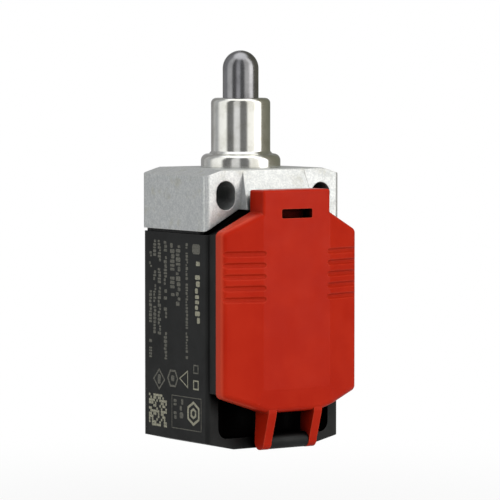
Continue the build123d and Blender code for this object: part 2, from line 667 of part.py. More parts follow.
STRIP = 0.8
PAD_FRONT = -7.0
PAD_BACK = -6.0
PAD_INNER = 4.6
PAD_OUTER = 12.0
PAD_HALF_HEIGHT = 3.1
WELL_INNER = 4.4
WELL_HALF_HEIGHT = 3.25
UPPER_PAD_Z = 32.2
LOWER_PAD_Z = 20.3
BLADE_OUTER = 6.9
BLADE_REAR = 1.6
TIP_X = 5.7
TIP_RADIUS = 1.1
TIP_HEIGHT = 0.5
NC_BLADE_Z = 33.8
NO_TIP_TOP = 19.6
NO_BLADE_Z = NO_TIP_TOP - TIP_HEIGHT - STRIP
TERMINAL_X = 8.4
TERMINAL_SCREW_RADIUS = 1.75

with BuildPart() as contact_base:
    with BuildSketch(front_plane(BLOCK_REAR)):
        with Locations((0, (BLOCK_BOTTOM + BLOCK_TOP) / 2)):
            Rectangle(2 * BLOCK_HALF, BLOCK_TOP - BLOCK_BOTTOM)
    extrude(amount=BLOCK_REAR - BLOCK_SPLIT)
    fillet(contact_base.edges().filter_by(Axis.Y), radius=BLOCK_CORNER)
    with BuildSketch(Plane.XY.offset(SPRING_CUP_BOTTOM)):
        Circle(SPRING_CUP_RADIUS)
    extrude(amount=BLOCK_BOTTOM - SPRING_CUP_BOTTOM + PAST)
    # chamber for the carrier and its bridges
    with BuildSketch(front_plane(BLOCK_SPLIT)):
        with Locations((0, (CAVITY_FLOOR + CAVITY_CEILING) / 2)):
            Rectangle(2 * CAVITY_HALF, CAVITY_CEILING - CAVITY_FLOOR)
    extrude(amount=-(CAVITY_DEPTH - BLOCK_SPLIT), mode=Mode.SUBTRACT)
    with BuildSketch(Plane.XY.offset(SPRING_CUP_FLOOR)):
        Circle(SPRING_CUP_BORE)
    extrude(amount=CAVITY_FLOOR - SPRING_CUP_FLOOR + PAST, mode=Mode.SUBTRACT)
    with BuildSketch(Plane.XY.offset(CAVITY_CEILING - PAST)):
        Circle(CARRIER_STEM + RUNNING)
    extrude(amount=BLOCK_TOP - CAVITY_CEILING + 2 * PAST, mode=Mode.SUBTRACT)
    # the body's posts reach in from behind, and the block screws pass through
    with BuildSketch(front_plane(BLOCK_REAR)):
        with Locations(*BLOCK_SCREW_CENTRES):
            Circle(BLOCK_SCREW_RADIUS + SCREW_CLEARANCE)
    extrude(amount=BLOCK_REAR - BLOCK_SPLIT, mode=Mode.SUBTRACT)
    with BuildSketch(front_plane(BLOCK_REAR)):
        with Locations(*BLOCK_SCREW_CENTRES):
            Circle(POST_RADIUS + SLIDING)
    extrude(amount=BLOCK_REAR - POST_FRONT + SLIDING, mode=Mode.SUBTRACT)
save(contact_base, "contact_base")

with BuildPart() as contact_front:
    with BuildSketch(front_plane(BLOCK_SPLIT - TOUCH)):
        with Locations((0, (BLOCK_BOTTOM + BLOCK_TOP) / 2)):
            Rectangle(2 * BLOCK_HALF, BLOCK_TOP - BLOCK_BOTTOM)
    extrude(amount=BLOCK_SPLIT - TOUCH - BLOCK_FRONT)
    fillet(contact_front.edges().filter_by(Axis.Y), radius=BLOCK_CORNER)
    for side in (-1, 1):
        for pad_z, blade_z in ((UPPER_PAD_Z, NC_BLADE_Z), (LOWER_PAD_Z, NO_BLADE_Z)):
            with BuildSketch(front_plane(BLOCK_FRONT)):
                with Locations((side * (WELL_INNER + BLOCK_HALF + PAST) / 2, pad_z)):
                    Rectangle(BLOCK_HALF + PAST - WELL_INNER, 2 * WELL_HALF_HEIGHT)
            extrude(amount=-(PAD_BACK + TOUCH - BLOCK_FRONT), mode=Mode.SUBTRACT)
            # slit for the blade, and clearance for the screw's end
            with BuildSketch(front_plane(BLOCK_FRONT)):
                with Locations((side * (PAD_INNER + BLADE_OUTER) / 2, blade_z + STRIP / 2)):
                    Rectangle(BLADE_OUTER - PAD_INNER + SLIDING, STRIP + SLIDING)
                with Locations((side * TERMINAL_X, pad_z)):
                    Circle(TERMINAL_SCREW_RADIUS + SCREW_CLEARANCE)
            extrude(amount=BLOCK_FRONT - BLOCK_SPLIT, mode=Mode.SUBTRACT)
    # counterbored holes for the block screws
    with BuildSketch(front_plane(BLOCK_FRONT)):
        with Locations(*BLOCK_SCREW_CENTRES):
            Circle(BLOCK_SCREW_RADIUS + SCREW_CLEARANCE)
    extrude(amount=BLOCK_FRONT - BLOCK_SPLIT, mode=Mode.SUBTRACT)
    with BuildSketch(front_plane(BLOCK_FRONT)):
        with Locations(*BLOCK_SCREW_CENTRES):
            Circle(SCREW_HEAD_RADIUS + SCREW_CLEARANCE)
    extrude(amount=BLOCK_FRONT - BLOCK_SCREW_SEAT, mode=Mode.SUBTRACT)
save(contact_front, "contact_front")

# ================================================================= contact carrier and bridges
CARRIER_HALF = 2.4
CARRIER_END_GAP = 0.3
CARRIER_BOTTOM = CAVITY_FLOOR + TRAVEL + CARRIER_END_GAP
CARRIER_HEAD = 1.2
CARRIER_CHAMFER = 0.4
BRIDGE = 0.6
BRIDGE_HALF = 6.6
BRIDGE_HALF_DEPTH = 1.5
BRIDGE_CHAMFER = 0.5
DIMPLE_RADIUS = 0.4
WINDOW_HALF_DEPTH = 1.55
NO_BRIDGE_Z = NO_TIP_TOP + NO_GAP + TIP_HEIGHT
NO_WINDOW_HEIGHT = 5.7
NO_WINDOW_TOP = NO_BRIDGE_Z + NO_WINDOW_HEIGHT
WINDOW_SPACING = 0.9
NC_WINDOW_BOTTOM = NO_WINDOW_TOP + WINDOW_SPACING
NC_TIP_BOTTOM = NC_BLADE_Z - TIP_HEIGHT
NC_BRIDGE_TOP = NC_TIP_BOTTOM - TIP_HEIGHT - TOUCH
NC_BRIDGE_Z = NC_BRIDGE_TOP - BRIDGE
CONTACT_WIRE = 0.35
CONTACT_COIL = 1.1
CARRIER_WIRE = 0.45
CARRIER_COIL = 1.7

with BuildPart() as carrier:
    with BuildSketch(Plane.XY.offset(CARRIER_BOTTOM)):
        Rectangle(2 * CARRIER_HALF, 2 * (CAVITY_DEPTH - SLIDING))
    extrude(amount=NC_BRIDGE_TOP + CARRIER_HEAD - CARRIER_BOTTOM)
    with BuildSketch(Plane.XY.offset(NC_BRIDGE_TOP)):
        Circle(CARRIER_STEM)
    extrude(amount=CARRIER_TOP - NC_BRIDGE_TOP)
    chamfer(carrier.faces().sort_by(Axis.Z)[-1].edges(), length=CARRIER_CHAMFER)
    # windows for the two bridges
    with BuildSketch(side_plane(-CARRIER_HALF - PAST)):
        with Locations((0, NO_BRIDGE_Z - TOUCH)):
            Rectangle(
                2 * WINDOW_HALF_DEPTH,
                NO_WINDOW_TOP - NO_BRIDGE_Z + TOUCH,
                align=(Align.CENTER, Align.MIN),
            )
        with Locations((0, NC_WINDOW_BOTTOM)):
            Rectangle(2 * WINDOW_HALF_DEPTH, NC_BRIDGE_TOP + TOUCH - NC_WINDOW_BOTTOM,
                      align=(Align.CENTER, Align.MIN))
    extrude(amount=2 * (CARRIER_HALF + PAST), mode=Mode.SUBTRACT)
save(carrier, "contact_carrier")


def bridge(name, bottom):
    """A sprung contact bridge: a strip with chamfered ends and a centring dimple hole."""
    with BuildPart() as strip:
        with BuildSketch(Plane.XY.offset(bottom)):
            Rectangle(2 * BRIDGE_HALF, 2 * BRIDGE_HALF_DEPTH)
            chamfer(vertices(), length=BRIDGE_CHAMFER)
            Circle(DIMPLE_RADIUS, mode=Mode.SUBTRACT)
        extrude(amount=BRIDGE)
    save(strip, name)


def contact_tips(name, bottom):
    """A left and a right silver rivet head."""
    with BuildPart() as tips:
        with BuildSketch(Plane.XY.offset(bottom)):
            with Locations((-TIP_X, 0), (TIP_X, 0)):
                Circle(TIP_RADIUS)
        extrude(amount=TIP_HEIGHT)
    save(tips, name)


bridge("nc_bridge", NC_BRIDGE_Z)
bridge("no_bridge", NO_BRIDGE_Z)
contact_tips("nc_bridge_tips", NC_BRIDGE_TOP)
contact_tips("no_bridge_tips", NO_BRIDGE_Z - TIP_HEIGHT)

with BuildPart() as fixed_tips:
    for bottom in (NC_TIP_BOTTOM, NO_TIP_TOP - TIP_HEIGHT):
        with BuildSketch(Plane.XY.offset(bottom)):
            with Locations((-TIP_X, 0), (TIP_X, 0)):
                Circle(TIP_RADIUS)
        extrude(amount=TIP_HEIGHT)
save(fixed_tips, "fixed_tips")

coil("nc_spring", CONTACT_COIL, CONTACT_WIRE, NC_WINDOW_BOTTOM + TOUCH, NC_BRIDGE_Z - TOUCH, 3)
coil("no_spring", CONTACT_COIL, CONTACT_WIRE, NO_BRIDGE_Z + BRIDGE + TOUCH, NO_WINDOW_TOP - TOUCH, 4)
coil("carrier_spring", CARRIER_COIL, CARRIER_WIRE, SPRING_CUP_FLOOR + TOUCH, CARRIER_BOTTOM - TOUCH, 5)


# ================================================================= terminals
WASHER = 1.0
WASHER_HALF = 2.9
SCREW_CROWN = 2.9
SCREW_CROWN_HEIGHT = 1.9
SCREW_END = -3.6
WIRE_LIP = 0.5
WASHER_CHAMFER = 0.25
LIP_WIDTH = 0.6
CROWN_ROUND = 0.6
CROWN_CROSS_LENGTH = 4.0
CROWN_CROSS_WIDTH = 0.8
CROWN_CROSS_DEPTH = 1.1


def terminal(name, side, pad_z, blade_z):
    """A fixed contact: an upright pad tapped for its screw, and a blade that runs back to the tip."""
    with BuildPart() as strip:
        with BuildSketch(front_plane(PAD_BACK)):
            with Locations((side * (PAD_INNER + PAD_OUTER) / 2, pad_z)):
                Rectangle(PAD_OUTER - PAD_INNER, 2 * PAD_HALF_HEIGHT)
            with Locations((side * TERMINAL_X, pad_z)):
                Circle(TERMINAL_SCREW_RADIUS + TOUCH, mode=Mode.SUBTRACT)
        extrude(amount=PAD_BACK - PAD_FRONT)
        with BuildSketch(Plane.XY.offset(blade_z)):
            with Locations((side * (PAD_INNER + BLADE_OUTER) / 2, (PAD_BACK - TOUCH + BLADE_REAR) / 2)):
                Rectangle(BLADE_OUTER - PAD_INNER, BLADE_REAR - PAD_BACK + 2 * TOUCH)
        extrude(amount=STRIP)
    save(strip, name)


terminal("nc_terminal_left", -1, UPPER_PAD_Z, NC_BLADE_Z)
terminal("nc_terminal_right", 1, UPPER_PAD_Z, NC_BLADE_Z)
terminal("no_terminal_left", -1, LOWER_PAD_Z, NO_BLADE_Z)
terminal("no_terminal_right", 1, LOWER_PAD_Z, NO_BLADE_Z)

TERMINAL_CENTRES = [(side * TERMINAL_X, z) for side in (-1, 1) for z in (LOWER_PAD_Z, UPPER_PAD_Z)]
WASHER_FRONT = PAD_FRONT - TOUCH - WIRE_LIP - WASHER

with BuildPart() as clamp_washers:
    with BuildSketch(front_plane(WASHER_FRONT + WASHER)):
        with Locations(*TERMINAL_CENTRES):
            Rectangle(2 * WASHER_HALF, 2 * WASHER_HALF)
    extrude(amount=WASHER)
    chamfer(clamp_washers.faces().sort_by(Axis.Y)[:4].edges(), length=WASHER_CHAMFER)
    with BuildSketch(front_plane(WASHER_FRONT + WASHER + WIRE_LIP)):
        for x, z in TERMINAL_CENTRES:
            with Locations((x, z)):
                with GridLocations(2 * WASHER_HALF - LIP_WIDTH, 0, 2, 1):
                    Rectangle(LIP_WIDTH, 2 * WASHER_HALF)
    extrude(amount=WIRE_LIP)
    with BuildSketch(front_plane(WASHER_FRONT)):
        with Locations(*TERMINAL_CENTRES):
            Circle(TERMINAL_SCREW_RADIUS + SLIDING)
    extrude(amount=-WASHER - WIRE_LIP, mode=Mode.SUBTRACT)
save(clamp_washers, "clamp_washers")

with BuildPart() as terminal_screws:
    with BuildSketch(front_plane(WASHER_FRONT - TOUCH)):
        with Locations(*TERMINAL_CENTRES):
            Circle(SCREW_CROWN)
    extrude(amount=SCREW_CROWN_HEIGHT)
    fillet(terminal_screws.faces().sort_by(Axis.Y)[:4].edges(), radius=CROWN_ROUND)
    with BuildSketch(front_plane(WASHER_FRONT - TOUCH)):
        with Locations(*TERMINAL_CENTRES):
            Circle(TERMINAL_SCREW_RADIUS)
    extrude(amount=-(SCREW_END - WASHER_FRONT))
    with BuildSketch(front_plane(WASHER_FRONT - SCREW_CROWN_HEIGHT - TOUCH)):
        with Locations(*TERMINAL_CENTRES):
            Rectangle(CROWN_CROSS_LENGTH, CROWN_CROSS_WIDTH)
            Rectangle(CROWN_CROSS_WIDTH, CROWN_CROSS_LENGTH)
    extrude(amount=-CROWN_CROSS_DEPTH, mode=Mode.SUBTRACT)
save(terminal_screws, "terminal_screws")

with BuildPart() as block_screws:
    with BuildSketch(front_plane(BLOCK_SCREW_SEAT - TOUCH)):
        with Locations(*BLOCK_SCREW_CENTRES):
            Circle(SCREW_HEAD_RADIUS)
    extrude(amount=SCREW_HEAD_HEIGHT)
    fillet(block_screws.faces().sort_by(Axis.Y)[:2].edges(), radius=SCREW_HEAD_ROUND)
    with BuildSketch(front_plane(BLOCK_SCREW_SEAT - TOUCH)):
        with Locations(*BLOCK_SCREW_CENTRES):
            Circle(BLOCK_SCREW_RADIUS)
    extrude(amount=-(POST_FRONT + BLOCK_SCREW_GRIP - BLOCK_SCREW_SEAT))
    with BuildSketch(front_plane(BLOCK_SCREW_SEAT - SCREW_HEAD_HEIGHT - TOUCH)):
        with Locations(*BLOCK_SCREW_CENTRES):
            Rectangle(CROSS_LENGTH, CROSS_WIDTH)
            Rectangle(CROSS_WIDTH, CROSS_LENGTH)
    extrude(amount=-CROSS_DEPTH, mode=Mode.SUBTRACT)
save(block_screws, "block_screws")
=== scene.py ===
import json
import math
import random

import bmesh
import bpy
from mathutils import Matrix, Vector


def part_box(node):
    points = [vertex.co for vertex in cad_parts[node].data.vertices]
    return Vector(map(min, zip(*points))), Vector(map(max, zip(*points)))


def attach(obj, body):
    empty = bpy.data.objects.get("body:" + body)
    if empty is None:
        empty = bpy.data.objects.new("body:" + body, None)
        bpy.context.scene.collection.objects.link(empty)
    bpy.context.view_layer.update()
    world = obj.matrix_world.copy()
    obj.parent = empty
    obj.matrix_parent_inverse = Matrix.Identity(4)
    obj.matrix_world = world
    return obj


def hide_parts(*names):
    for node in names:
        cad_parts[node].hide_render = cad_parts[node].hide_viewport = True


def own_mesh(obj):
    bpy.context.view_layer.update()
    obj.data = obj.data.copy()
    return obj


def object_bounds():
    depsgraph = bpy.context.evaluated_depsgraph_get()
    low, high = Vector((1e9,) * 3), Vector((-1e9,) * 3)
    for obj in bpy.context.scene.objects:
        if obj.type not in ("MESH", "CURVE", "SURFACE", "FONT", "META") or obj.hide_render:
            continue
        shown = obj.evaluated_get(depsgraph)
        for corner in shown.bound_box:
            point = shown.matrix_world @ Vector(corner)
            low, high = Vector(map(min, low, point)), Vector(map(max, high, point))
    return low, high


MM = 0.001

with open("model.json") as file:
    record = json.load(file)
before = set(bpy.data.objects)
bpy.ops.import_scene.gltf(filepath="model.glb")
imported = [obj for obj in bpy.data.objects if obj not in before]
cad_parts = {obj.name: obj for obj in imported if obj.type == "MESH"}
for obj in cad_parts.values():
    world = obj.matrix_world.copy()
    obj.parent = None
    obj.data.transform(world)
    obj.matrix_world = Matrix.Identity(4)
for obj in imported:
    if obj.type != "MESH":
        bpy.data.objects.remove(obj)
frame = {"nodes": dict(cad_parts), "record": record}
cad_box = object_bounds()
NODES = frame["nodes"]
MOUNTS = {mount["name"]: mount for mount in frame["record"]["mounts"]}


# ------------------------------------------------------------------ node helpers
class NodeTree:
    """A node tree that is built with short calls."""

    def __init__(self, owner):
        owner.use_nodes = True
        self.tree = owner.node_tree
        self.tree.nodes.clear()

    def node(self, kind, **values):
        made = self.tree.nodes.new(kind)
        for key, value in values.items():
            setattr(made, key, value)
        return made

    def link(self, source, target):
        self.tree.links.new(source, target)

    def put(self, node, socket, value):
        """Sets a socket to a number or colour, or links it to another node's output."""
        if isinstance(value, bpy.types.NodeSocket):
            self.link(value, node.inputs[socket])
        else:
            node.inputs[socket].default_value = value

    def maths(self, operation, a, b=0.0):
        made = self.node("ShaderNodeMath", operation=operation)
        self.put(made, 0, a)
        self.put(made, 1, b)
        return made.outputs["Value"]

    def mix(self, share, a, b):
        made = self.node("ShaderNodeMix", data_type="RGBA")
        self.put(made, "Factor", share)
        self.put(made, "A", a)
        self.put(made, "B", b)
        return made.outputs["Result"]

    def blend_shaders(self, share, a, b):
        made = self.node("ShaderNodeMixShader")
        self.put(made, "Fac", share)
        self.link(a, made.inputs[1])
        self.link(b, made.inputs[2])
        return made.outputs["Shader"]


class Shader(NodeTree):
    """A material with a principled surface. Lengths are in millimetres."""

    def __init__(self, name):
        self.material = bpy.data.materials.new(name)
        super().__init__(self.material)
        self.output = self.node("ShaderNodeOutputMaterial")
        self.surface = self.node("ShaderNodeBsdfPrincipled")
        self.link(self.surface.outputs["BSDF"], self.output.inputs["Surface"])
        self.place = self.node("ShaderNodeTexCoord").outputs["Object"]

    def stretched(self, x, y, z):
        """The object's coordinates, stretched along each axis."""
        mapping = self.node("ShaderNodeMapping")
        self.put(mapping, "Vector", self.place)
        self.put(mapping, "Scale", (x, y, z))
        return mapping.outputs["Vector"]

    def noise(self, size, detail=3.0, roughness=0.55, place=None):
        """Noise whose lumps are about this many millimetres across."""
        made = self.node("ShaderNodeTexNoise")
        self.put(made, "Vector", place or self.place)
        self.put(made, "Scale", 1.0 / (size * MM))
        self.put(made, "Detail", detail)
        self.put(made, "Roughness", roughness)
        return made.outputs["Fac"]

    def cells(self, size):
        """The distance from the middle of cells that are about this many millimetres across."""
        made = self.node("ShaderNodeTexVoronoi")
        self.put(made, "Vector", self.place)
        self.put(made, "Scale", 1.0 / (size * MM))
        return made.outputs["Distance"]

    def between(self, value, low, high, out_low=0.0, out_high=1.0):
        """Maps low..high onto out_low..out_high, clamped and smooth."""
        made = self.node("ShaderNodeMapRange", interpolation_type="SMOOTHSTEP")
        self.put(made, "Value", value)
        self.put(made, "From Min", low)
        self.put(made, "From Max", high)
        self.put(made, "To Min", out_low)
        self.put(made, "To Max", out_high)
        return made.outputs["Result"]

    def rounded(self, radius):
        """Shading normals with every edge rounded to this radius."""
        made = self.node("ShaderNodeBevel", samples=6)
        self.put(made, "Radius", radius * MM)
        return made.outputs["Normal"]

    def edges(self, radius):
        """1 on outer and inner edges, 0 on open faces."""
        flat = self.node("ShaderNodeNewGeometry").outputs["Normal"]
        dot = self.node("ShaderNodeVectorMath", operation="DOT_PRODUCT")
        self.put(dot, 0, self.rounded(radius))
        self.put(dot, 1, flat)
        return self.between(dot.outputs["Value"], 0.995, 0.86)

    def away(self, vector, axis, low, high, out_low=0.0, out_high=1.0):
        """Maps how far a vector reaches along an axis, either way, onto out_low..out_high."""
        split = self.node("ShaderNodeSeparateXYZ")
        self.put(split, "Vector", vector)
        reach = self.maths("ABSOLUTE", split.outputs[axis])
        return self.between(reach, low, high, out_low, out_high)

    def flanks(self, inner, outer):
        """1 on faces that look across the Y axis and lie far out to the sides, 0 elsewhere."""
        facing = self.node("ShaderNodeTexCoord").outputs["Normal"]
        across = self.away(facing, "Y", 0.35, 0.75, 1.0, 0.0)
        far_out = self.away(self.place, "X", inner * MM, outer * MM)
        return self.maths("MULTIPLY", across, far_out)

    def hollows(self, reach, low=0.1, high=0.75, most=1.0):
        """0 in narrow gaps and deep holes, most on open faces. Walls within the reach count."""
        made = self.node("ShaderNodeAmbientOcclusion", samples=8)
        self.put(made, "Distance", reach * MM)
        return self.between(made.outputs["AO"], low, high, 0.0, most)

    def bump(self, height, depth, normal=None):
        """Relief of this depth in millimetres from a 0..1 height."""
        made = self.node("ShaderNodeBump")
        self.put(made, "Height", height)
        self.put(made, "Distance", depth * MM)
        self.put(made, "Strength", 1.0)
        if normal is not None:
            self.put(made, "Normal", normal)
        return made.outputs["Normal"]

    def finish(self, tone, roughness, normal, metallic=0.0, **extra):
        """Fills in the surface and returns the material."""
        self.put(self.surface, "Base Color", tone)
        self.put(self.surface, "Roughness", roughness)
        self.put(self.surface, "Metallic", metallic)
        self.put(self.surface, "Normal", normal)
        for socket, value in extra.items():
            self.put(self.surface, socket.replace("_", " "), value)
        return self.material


def colour(red, green, blue):
    """An sRGB colour from 0..255 as linear RGBA."""
    def linear(value):
        value /= 255
        return value / 12.92 if value <= 0.04045 else ((value + 0.055) / 1.055) ** 2.4
    return (linear(red), linear(green), linear(blue), 1.0)


# ------------------------------------------------------------------ materials
# distance from the middle plane, in millimetres, where the painted highlight on the flanks starts
# and where it is full
FLANK_START = 8.0
FLANK_FULL = 10.0


def moulded_plastic(name, base, light, wear_and_highlight_tone, sheen, grain_depth, gloss=0.3, shade_reach=5.0,
                    shade_range=(0.1, 0.75), flank_highlight_share=0.0):
    """Satin injection-moulded plastic: cloudy colour, fine grain, edges paler from wear and a
    painted highlight, a painted highlight on the far flanks, and painted shade in hollows.
    """
    s = Shader(name)
    clouds = s.between(s.noise(9.0, 4.0), 0.35, 0.7)
    flow = s.noise(2.5, 3.0, place=s.stretched(1.0, 1.0, 0.25))
    tone = s.mix(clouds, base, light)
    tone = s.mix(s.maths("MULTIPLY", s.between(flow, 0.45, 0.75), 0.25), tone, light)
    # paler edges: partly wear, partly a painted highlight where the edges catch the light
    edge_wear_and_highlight = s.maths("MULTIPLY", s.edges(0.25), s.between(s.noise(1.2, 4.0), 0.3, 0.6, 0.5, 1.0))
    tone = s.mix(s.maths("MULTIPLY", edge_wear_and_highlight, 0.45), tone, wear_and_highlight_tone)
    # painted highlight: faces far out to the sides made paler, as if lit, except in hollows
    open_faces = s.hollows(9.0, 0.45, 0.85, flank_highlight_share)
    pale = s.maths("MULTIPLY", s.flanks(FLANK_START, FLANK_FULL), open_faces)
    tone = s.mix(pale, tone, wear_and_highlight_tone)
    # painted shade: hollows and narrow gaps darkened towards near black, and their gloss dimmed
    # below
    unshaded_share = s.hollows(shade_reach, *shade_range)
    tone = s.mix(unshaded_share, colour(4, 3, 3), tone)
    rough = s.between(s.noise(3.0, 5.0), 0.3, 0.7, sheen - 0.05, sheen + 0.08)
    grain = s.bump(s.noise(0.22, 2.0), grain_depth, s.rounded(0.18))
    wavy = s.bump(s.noise(5.0, 1.0), 0.02, grain)
    level = s.maths("MULTIPLY", unshaded_share, gloss)
    return s.finish(tone, rough, wavy, IOR=1.5, Specular_IOR_Level=level)


def die_cast(name):
    """Bead-blasted zinc: pale grey metal with a fine speckle, faint stains, a painted highlight
    along the edges and painted shade in hollows.
    """
    s = Shader(name)
    speckle = s.noise(0.32, 3.0, 0.6)
    cloud = s.noise(2.6, 4.0, 0.6)
    tone = s.mix(s.between(speckle, 0.36, 0.64), colour(192, 195, 196), colour(214, 216, 215))
    stain = s.between(cloud, 0.52, 0.74)
    tone = s.mix(s.maths("MULTIPLY", stain, 0.4), tone, colour(176, 174, 152))
    patches = s.between(s.noise(0.9, 3.0, 0.6), 0.42, 0.62)
    tone = s.mix(s.maths("MULTIPLY", patches, 0.3), tone, colour(176, 180, 182))
    # painted highlight: edges lightened towards near white
    tone = s.mix(s.maths("MULTIPLY", s.edges(0.25), 0.5), tone, colour(240, 240, 236))
    # painted shade: holes and recesses darkened towards dark grey
    tone = s.mix(s.hollows(5.0, 0.12, 0.7), colour(34, 34, 34), tone)
    rough = s.between(cloud, 0.3, 0.7, 0.36, 0.46)
    lumps = s.bump(s.noise(0.9, 2.0), 0.012, s.rounded(0.25))
    grain = s.bump(s.between(s.cells(0.28), 0.05, 0.45), 0.006, lumps)
    return s.finish(tone, rough, grain, 0.8)


def turned_metal(name, base, dark, rough_low, rough_high, ring_depth):
    """Turned metal: fine rings round the Z axis, faint smudges, softened edges."""
    s = Shader(name)
    rings = s.noise(0.12, 2.0, 0.6, place=s.stretched(0.02, 0.02, 1.0))
    smudge = s.noise(3.0, 4.0)
    tone = s.mix(s.between(smudge, 0.4, 0.75), base, dark)
    marks = s.maths("ADD", s.maths("MULTIPLY", rings, 0.5), s.maths("MULTIPLY", smudge, 0.5))
    rough = s.between(marks, 0.3, 0.7, rough_low, rough_high)
    normal = s.bump(rings, ring_depth, s.rounded(0.15))
    return s.finish(tone, rough, normal, 1.0)


def rubber(name):
    """Matt black rubber with pale dust."""
    s = Shader(name)
    dust = s.between(s.noise(0.8, 4.0), 0.5, 0.8)
    tone = s.mix(s.maths("MULTIPLY", dust, 0.3), colour(20, 20, 21), colour(62, 60, 57))
    rough = s.between(s.noise(0.5, 3.0), 0.3, 0.7, 0.62, 0.8)
    return s.finish(tone, rough, s.bump(s.noise(0.1, 2.0), 0.01, s.rounded(0.1)))


def stamped_brass(name):
    """Brass strip with tarnish, rolling lines along Y and brighter cut edges."""
    s = Shader(name)
    tarnish = s.between(s.noise(1.4, 5.0, 0.6), 0.4, 0.7)
    tone = s.mix(tarnish, colour(206, 172, 98), colour(150, 112, 58))
    tone = s.mix(s.maths("MULTIPLY", s.edges(0.12), 0.6), tone, colour(232, 206, 140))
    lines = s.noise(0.1, 2.0, place=s.stretched(1.0, 0.08, 1.0))
    rough = s.between(tarnish, 0.0, 1.0, 0.22, 0.42)
    return s.finish(tone, rough, s.bump(lines, 0.006, s.rounded(0.08)), 1.0)


def silver(name):
    """Contact silver, tarnished in patches."""
    s = Shader(name)
    tarnish = s.between(s.noise(0.5, 4.0), 0.45, 0.75)
    tone = s.mix(s.maths("MULTIPLY", tarnish, 0.5), colour(228, 226, 220), colour(128, 120, 106))
    rough = s.between(tarnish, 0.0, 1.0, 0.2, 0.4)
    return s.finish(tone, rough, s.bump(s.noise(0.15, 3.0), 0.006, s.rounded(0.15)), 1.0)


def laser_mark(name, dark, pale):
    """Laser-marked nylon: pale, slightly foamed and speckled."""
    s = Shader(name)
    speckle = s.noise(0.22, 3.0, 0.7)
    tone = s.mix(s.between(speckle, 0.35, 0.65), dark, pale)
    return s.finish(tone, 0.7, s.bump(speckle, 0.01))


FINISHES = {
    "cover_red": moulded_plastic(
        "red_plastic", colour(152, 26, 7), colour(159, 32, 12), colour(222, 92, 66), sheen=0.36,
        grain_depth=0.006, gloss=0.08, shade_reach=8.0, shade_range=(0.15, 0.9), flank_highlight_share=0.3),
    "housing_black": moulded_plastic(
        "black_nylon", colour(16, 17, 17), colour(25, 26, 26), colour(56, 58, 58), sheen=0.42,
        grain_depth=0.012, gloss=0.2, shade_reach=14.0, shade_range=(0.4, 0.88)),
    "block_plastic": moulded_plastic(
        "block_thermoset", colour(152, 158, 146), colour(166, 172, 160), colour(190, 195, 184),
        sheen=0.45, grain_depth=0.01),
    "carrier_plastic": moulded_plastic(
        "white_acetal", colour(214, 212, 204), colour(224, 222, 216), colour(236, 234, 230),
        sheen=0.35, grain_depth=0.006),
    "die_cast": die_cast("bead_blasted_zinc"),
    "guide_nickel": turned_metal(
        "polished_nickel", colour(228, 228, 224), colour(208, 207, 200),
        rough_low=0.11, rough_high=0.18, ring_depth=0.0015),
    "plunger_steel": turned_metal(
        "dark_ground_steel", colour(148, 148, 151), colour(122, 122, 125),
        rough_low=0.17, rough_high=0.26, ring_depth=0.003),
    "spring_steel": turned_metal(
        "spring_wire", colour(168, 168, 168), colour(132, 132, 134),
        rough_low=0.25, rough_high=0.35, ring_depth=0.004),
    "screw_steel": turned_metal(
        "zinc_plate", colour(206, 204, 192), colour(172, 168, 150),
        rough_low=0.25, rough_high=0.4, ring_depth=0.005),
    "seal_rubber": rubber("nitrile_rubber"),
    "contact_brass": stamped_brass("stamped_brass"),
    "contact_silver": silver("contact_silver"),
}
FAINT_MARK = laser_mark("faint_mark", colour(66, 66, 61), colour(104, 103, 94))
BRIGHT_MARK = laser_mark("bright_mark", colour(112, 111, 98), colour(164, 162, 142))
SLOTS = {part["node"]: part["material_slot"] for part in frame["record"]["subparts"]}
for node_name, cad_object in NODES.items():
    cad_object.data.materials.clear()
    cad_object.data.materials.append(FINISHES[SLOTS[node_name]])


# ------------------------------------------------------------------ pieces
def add_piece(name, mesh, body, slot, node=None, finish=None, smooth=True):
    """Turns a bmesh into a piece on a body. It may replace a CAD node or have its own finish."""
    data = bpy.data.meshes.new(name)
    mesh.to_mesh(data)
    mesh.free()
    piece = bpy.data.objects.new(name, data)
    bpy.context.scene.collection.objects.link(piece)
    for polygon in data.polygons:
        polygon.use_smooth = smooth
    data.materials.append(finish or FINISHES[slot])
    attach(piece, body)
    if node:
        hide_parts(node)
    return piece


# ------------------------------------------------------------------ springs
COIL_STEPS = 40
WIRE_SIDES = 10
CLOSED_TURNS = 1.0


def coil_spring(node, name, body, turns, wire):
    """A wire spring with closed ends, in the place of its CAD node."""
    low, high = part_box(node)
    centre = (low + high) / 2
    wire_radius = wire * MM / 2
    radius = (high.x - low.x) / 2 - wire_radius
    pitch = (high.z - low.z - wire * MM - 2 * CLOSED_TURNS * wire * MM) / turns
    mesh = bmesh.new()
    rings = []
    for step in range(int((turns + 2 * CLOSED_TURNS) * COIL_STEPS) + 1):
        turn = step / COIL_STEPS
        rise = min(turn, CLOSED_TURNS) * wire * MM
        rise += max(0.0, min(turn - CLOSED_TURNS, turns)) * pitch
        rise += max(0.0, turn - CLOSED_TURNS - turns) * wire * MM
        angle = 2 * math.pi * turn
        outward = Vector((math.cos(angle), math.sin(angle), 0))
        middle = Vector((centre.x, centre.y, low.z + wire_radius + rise)) + outward * radius
        ring = []
        for side in range(WIRE_SIDES):
            around = 2 * math.pi * side / WIRE_SIDES
            offset = outward * math.cos(around) + Vector((0, 0, math.sin(around)))
            ring.append(mesh.verts.new(middle + offset * wire_radius))
        rings.append(ring)
    for first, second in zip(rings, rings[1:]):
        for side in range(WIRE_SIDES):
            other = (side + 1) % WIRE_SIDES
            mesh.faces.new((first[side], first[other], second[other], second[side]))
    mesh.faces.new(rings[0][::-1])
    mesh.faces.new(rings[-1])
    bmesh.ops.recalc_face_normals(mesh, faces=mesh.faces)
    return add_piece(name, mesh, body, "spring_steel", node=node)


